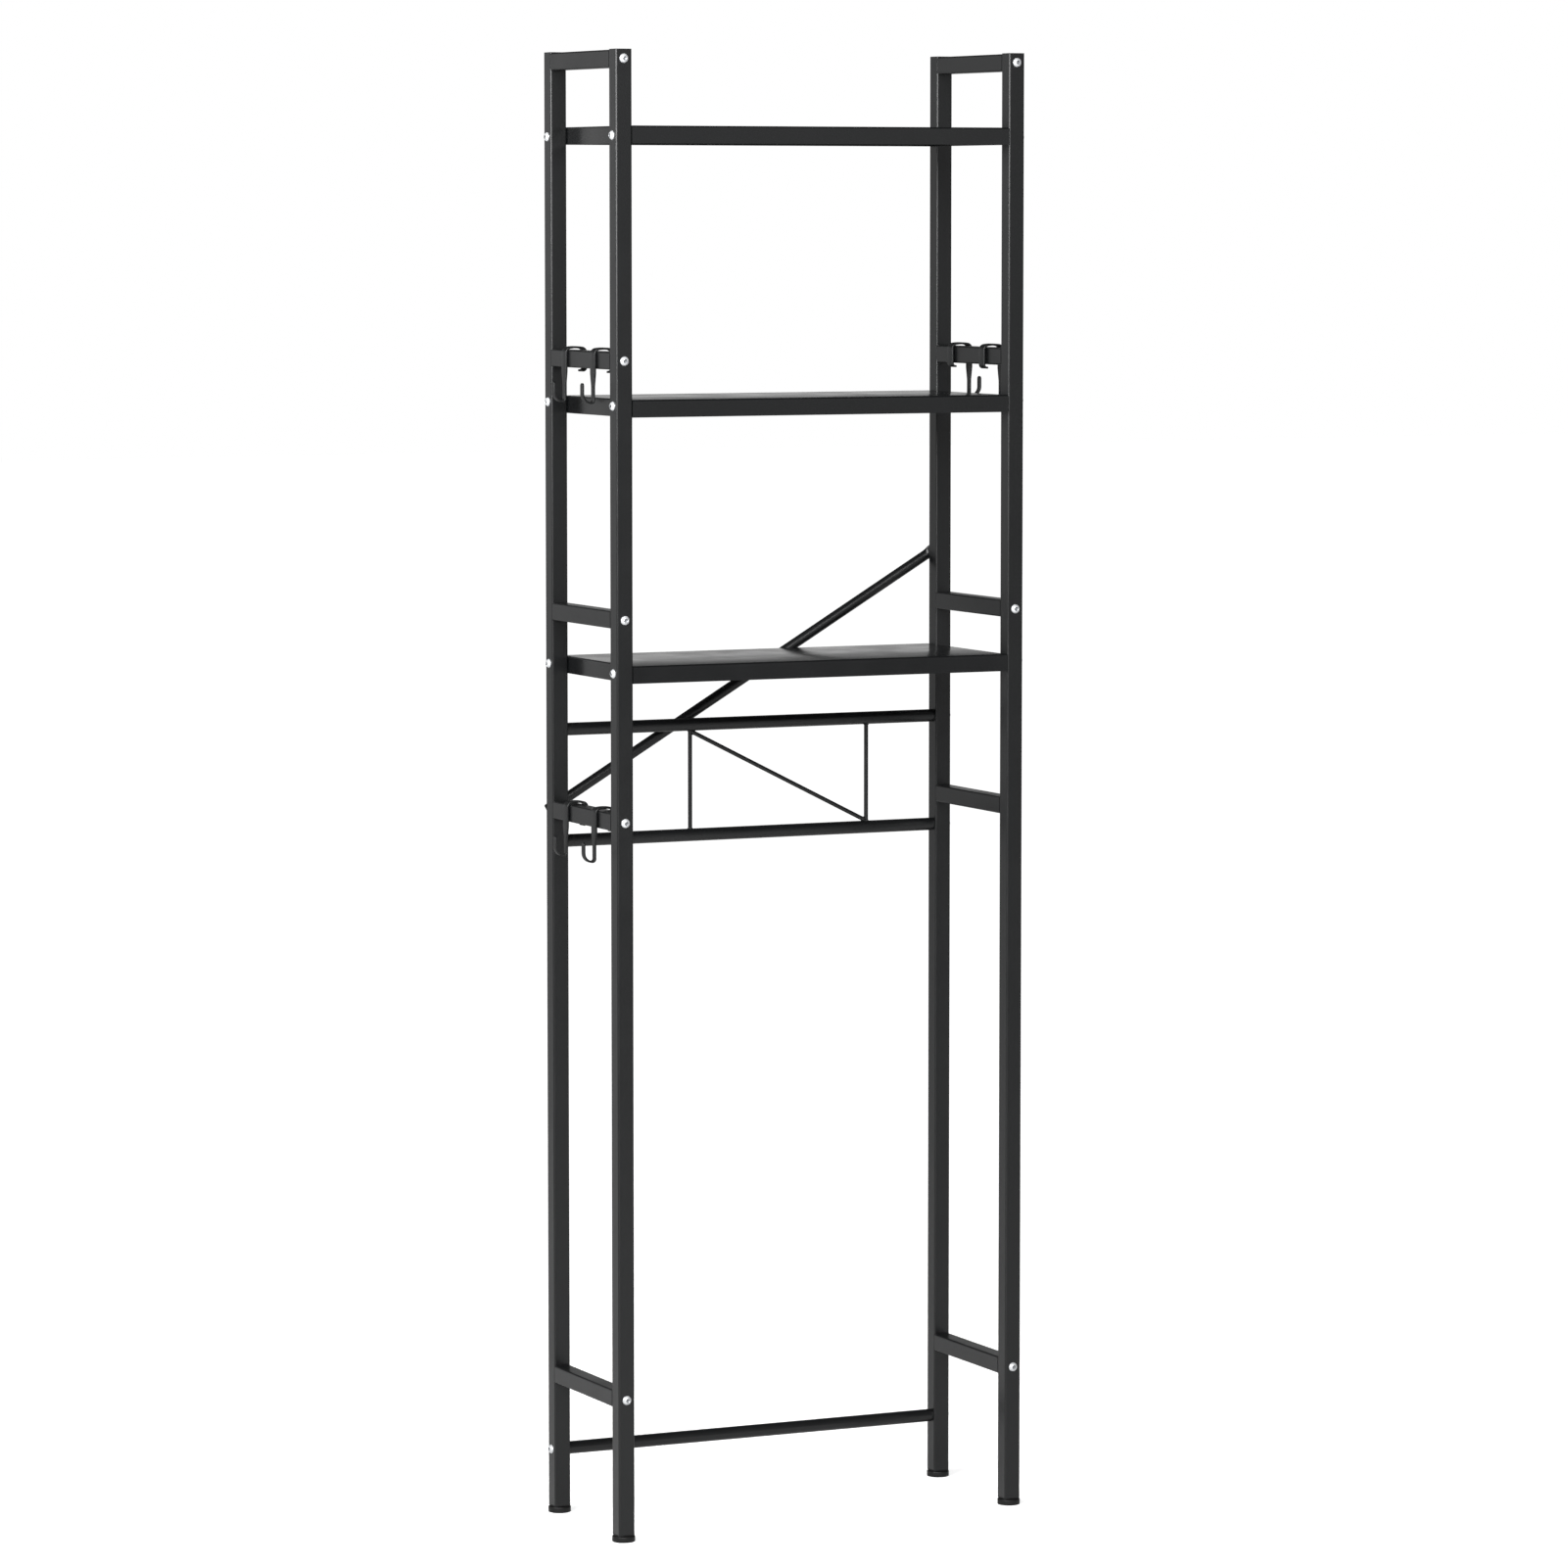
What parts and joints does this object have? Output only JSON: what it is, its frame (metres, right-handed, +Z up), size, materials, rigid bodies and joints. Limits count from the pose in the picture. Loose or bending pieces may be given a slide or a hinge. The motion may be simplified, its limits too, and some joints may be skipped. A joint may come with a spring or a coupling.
{
  "type": "over the toilet storage rack",
  "caption": "Tall open rack that stands over a toilet: square-tube sides with open rails, folded sheet shelves, a rod truss and diagonal brace behind, sliding hooks and levelling feet.",
  "frame": {"origin": "on the floor under the middle of the rack's bounding box", "axes": "+Z up, +X to the rack's right seen from the front, +Y towards the wall behind it; the front faces -Y"},
  "size_m": [0.5516, 0.2222, 1.708],
  "materials": {
    "frame_coat": "satin black powder coat on steel tube",
    "shelf_coat": "satin black powder coat on folded steel sheet",
    "hook_coat": "satin black powder coat on steel strip",
    "black_plastic": "moulded, fine matt grain",
    "foot_plastic": "moulded, fine matt grain",
    "zinc_steel": "bright zinc plate"
  },
  "bodies": {
    "frame": {"left_front_post": "frame_coat", "left_rear_post": "frame_coat", "right_front_post": "frame_coat", "right_rear_post": "frame_coat", "left_front_cap": "black_plastic", "left_rear_cap": "black_plastic", "right_front_cap": "black_plastic", "right_rear_cap": "black_plastic", "left_top_rail": "frame_coat", "left_hook_rail": "frame_coat", "left_middle_rail": "frame_coat", "left_lower_rail": "frame_coat", "left_bottom_rail": "frame_coat", "right_top_rail": "frame_coat", "right_hook_rail": "frame_coat", "right_middle_rail": "frame_coat", "right_lower_rail": "frame_coat", "right_bottom_rail": "frame_coat", "top_shelf": "shelf_coat", "middle_shelf": "shelf_coat", "bottom_shelf": "shelf_coat", "truss_top_tube": "frame_coat", "truss_bottom_tube": "frame_coat", "truss_left_rod": "frame_coat", "truss_right_rod": "frame_coat", "truss_diagonal_rod": "frame_coat", "rear_bottom_bar": "frame_coat", "diagonal_brace": "frame_coat", "left_front_insert": "black_plastic", "left_rear_insert": "black_plastic", "right_front_insert": "black_plastic", "right_rear_insert": "black_plastic", "left_front_screws": "zinc_steel", "left_rear_screws": "zinc_steel", "right_front_screws": "zinc_steel", "right_rear_screws": "zinc_steel", "left_shelf_screws": "zinc_steel", "right_shelf_screws": "zinc_steel", "truss_screws": "zinc_steel", "bottom_bar_screws": "zinc_steel", "brace_screws": "zinc_steel", "left_rail_plugs": "black_plastic", "right_rail_plugs": "black_plastic", "shelf_nuts": "zinc_steel", "truss_tube_plugs": "black_plastic", "bottom_bar_plugs": "black_plastic", "brace_rivet_nut": "zinc_steel"},
    "left_upper_front_hook": {"left_upper_front_hook": "hook_coat"},
    "left_upper_rear_hook": {"left_upper_rear_hook": "hook_coat"},
    "left_lower_front_hook": {"left_lower_front_hook": "hook_coat"},
    "left_lower_rear_hook": {"left_lower_rear_hook": "hook_coat"},
    "right_upper_front_hook": {"right_upper_front_hook": "hook_coat"},
    "right_upper_rear_hook": {"right_upper_rear_hook": "hook_coat"},
    "left_front_foot": {"left_front_foot": "foot_plastic"},
    "left_rear_foot": {"left_rear_foot": "foot_plastic"},
    "right_front_foot": {"right_front_foot": "foot_plastic"},
    "right_rear_foot": {"right_rear_foot": "foot_plastic"}
  },
  "joints": [
    {"name": "left_upper_front_hook_slide", "type": "slide", "parent": "frame", "child": "left_upper_front_hook", "axis": [0, 1, 0], "range_m": [-0.035, 0.034]},
    {"name": "left_upper_rear_hook_slide", "type": "slide", "parent": "frame", "child": "left_upper_rear_hook", "axis": [0, 1, 0], "range_m": [-0.034, 0.035]},
    {"name": "left_lower_front_hook_slide", "type": "slide", "parent": "frame", "child": "left_lower_front_hook", "axis": [0, 1, 0], "range_m": [-0.035, 0.034]},
    {"name": "left_lower_rear_hook_slide", "type": "slide", "parent": "frame", "child": "left_lower_rear_hook", "axis": [0, 1, 0], "range_m": [-0.034, 0.035]},
    {"name": "right_upper_front_hook_slide", "type": "slide", "parent": "frame", "child": "right_upper_front_hook", "axis": [0, 1, 0], "range_m": [-0.035, 0.034]},
    {"name": "right_upper_rear_hook_slide", "type": "slide", "parent": "frame", "child": "right_upper_rear_hook", "axis": [0, 1, 0], "range_m": [-0.034, 0.035]},
    {"name": "left_front_foot_height", "type": "slide", "parent": "frame", "child": "left_front_foot", "axis": [0, 0, -1], "range_m": [0, 0.008]},
    {"name": "left_rear_foot_height", "type": "slide", "parent": "frame", "child": "left_rear_foot", "axis": [0, 0, -1], "range_m": [0, 0.008]},
    {"name": "right_front_foot_height", "type": "slide", "parent": "frame", "child": "right_front_foot", "axis": [0, 0, -1], "range_m": [0, 0.008]},
    {"name": "right_rear_foot_height", "type": "slide", "parent": "frame", "child": "right_rear_foot", "axis": [0, 0, -1], "range_m": [0, 0.008]}
  ]
}
